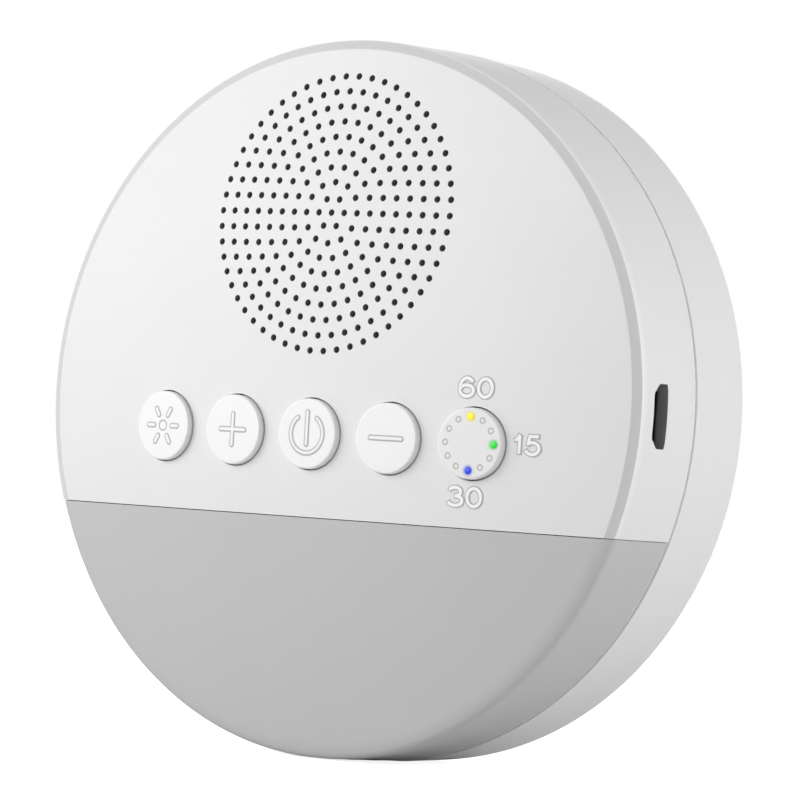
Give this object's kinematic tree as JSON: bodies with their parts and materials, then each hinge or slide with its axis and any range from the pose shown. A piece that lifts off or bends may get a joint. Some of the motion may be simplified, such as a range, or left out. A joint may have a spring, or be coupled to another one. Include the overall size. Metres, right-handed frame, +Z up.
{
  "type": "sound machine",
  "caption": "Round white sound machine standing on its rim: domed face with a drilled speaker grille, a row of push buttons with a timer ring, frosted lamp segment and side charging socket.",
  "frame": {"origin": "centre of the bounding box on the flat base that the case stands on", "axes": "+Z up, the domed face looks along -Y, +Y runs from the face to the flat back, +X is to the right as one looks at the face, on the charging socket side"},
  "size_m": [0.1036, 0.0344, 0.1031],
  "materials": {
    "black_fabric": "woven",
    "black_foam": "matte",
    "black_plastic": "matte",
    "board_green": "solder mask",
    "board_white": "white solder mask",
    "cell_foil": "satin foil",
    "coil_copper": "varnished",
    "cream_plastic": "matte",
    "ferrite": "matte",
    "grey_silicone": "matte",
    "lamp_cover": "satin translucent",
    "led_white": "gloss",
    "lens_blue": "clear coloured",
    "lens_green": "clear coloured",
    "lens_yellow": "clear coloured",
    "paper_cone": "matte",
    "steel": "plated",
    "white_button": "satin moulded",
    "white_shell": "satin moulded",
    "wire_black": "satin",
    "wire_red": "satin"
  },
  "bodies": {
    "housing": {"acoustic_mesh": "black_fabric", "amplifier_chip": "black_plastic", "base_pad": "grey_silicone", "battery_cell": "cell_foil", "battery_connector": "cream_plastic", "battery_lead_black": "wire_black", "battery_lead_red": "wire_red", "battery_tape": "black_foam", "board_screws": "steel", "capacitor": "black_plastic", "case_screws": "steel", "charging_chip": "black_plastic", "front_shell": "white_shell", "lamp_board": "board_white", "lamp_connector": "cream_plastic", "lamp_cover": "lamp_cover", "lamp_lead_black": "wire_black", "lamp_lead_red": "wire_red", "lamp_leds": "led_white", "lamp_screws": "steel", "light_switch": "black_plastic", "main_board": "board_green", "power_switch": "black_plastic", "rear_shell": "white_shell", "socket_shell": "steel", "socket_tongue": "black_plastic", "sound_chip": "black_plastic", "speaker_cone": "paper_cone", "speaker_connector": "cream_plastic", "speaker_dust_cap": "paper_cone", "speaker_frame": "steel", "speaker_gasket": "black_foam", "speaker_lead_black": "wire_black", "speaker_lead_red": "wire_red", "speaker_magnet": "ferrite", "speaker_screws": "steel", "speaker_spider": "black_fabric", "speaker_surround": "black_foam", "speaker_terminal": "cream_plastic", "speaker_top_plate": "steel", "speaker_voice_coil": "coil_copper", "speaker_yoke": "steel", "timer_leds": "led_white", "timer_switch": "black_plastic", "volume_down_switch": "black_plastic", "volume_up_switch": "black_plastic"},
    "light_key": {"light_button": "white_button", "light_plunger": "black_plastic"},
    "volume_up_key": {"volume_up_button": "white_button", "volume_up_plunger": "black_plastic"},
    "power_key": {"power_button": "white_button", "power_plunger": "black_plastic"},
    "volume_down_key": {"volume_down_button": "white_button", "volume_down_plunger": "black_plastic"},
    "timer_key": {"timer_button": "white_button", "timer_plunger": "black_plastic", "timer_lens_yellow": "lens_yellow", "timer_lens_green": "lens_green", "timer_lens_blue": "lens_blue"}
  },
  "joints": [
    {"name": "light_press", "type": "slide", "parent": "housing", "child": "light_key", "axis": [0, 1, 0], "range_m": [0, 0.0004], "stiffness_N_per_m": 500},
    {"name": "volume_up_press", "type": "slide", "parent": "housing", "child": "volume_up_key", "axis": [0, 1, 0], "range_m": [0, 0.0004], "stiffness_N_per_m": 500},
    {"name": "power_press", "type": "slide", "parent": "housing", "child": "power_key", "axis": [0, 1, 0], "range_m": [0, 0.0004], "stiffness_N_per_m": 500},
    {"name": "volume_down_press", "type": "slide", "parent": "housing", "child": "volume_down_key", "axis": [0, 1, 0], "range_m": [0, 0.0004], "stiffness_N_per_m": 500},
    {"name": "timer_press", "type": "slide", "parent": "housing", "child": "timer_key", "axis": [0, 1, 0], "range_m": [0, 0.0004], "stiffness_N_per_m": 500}
  ]
}
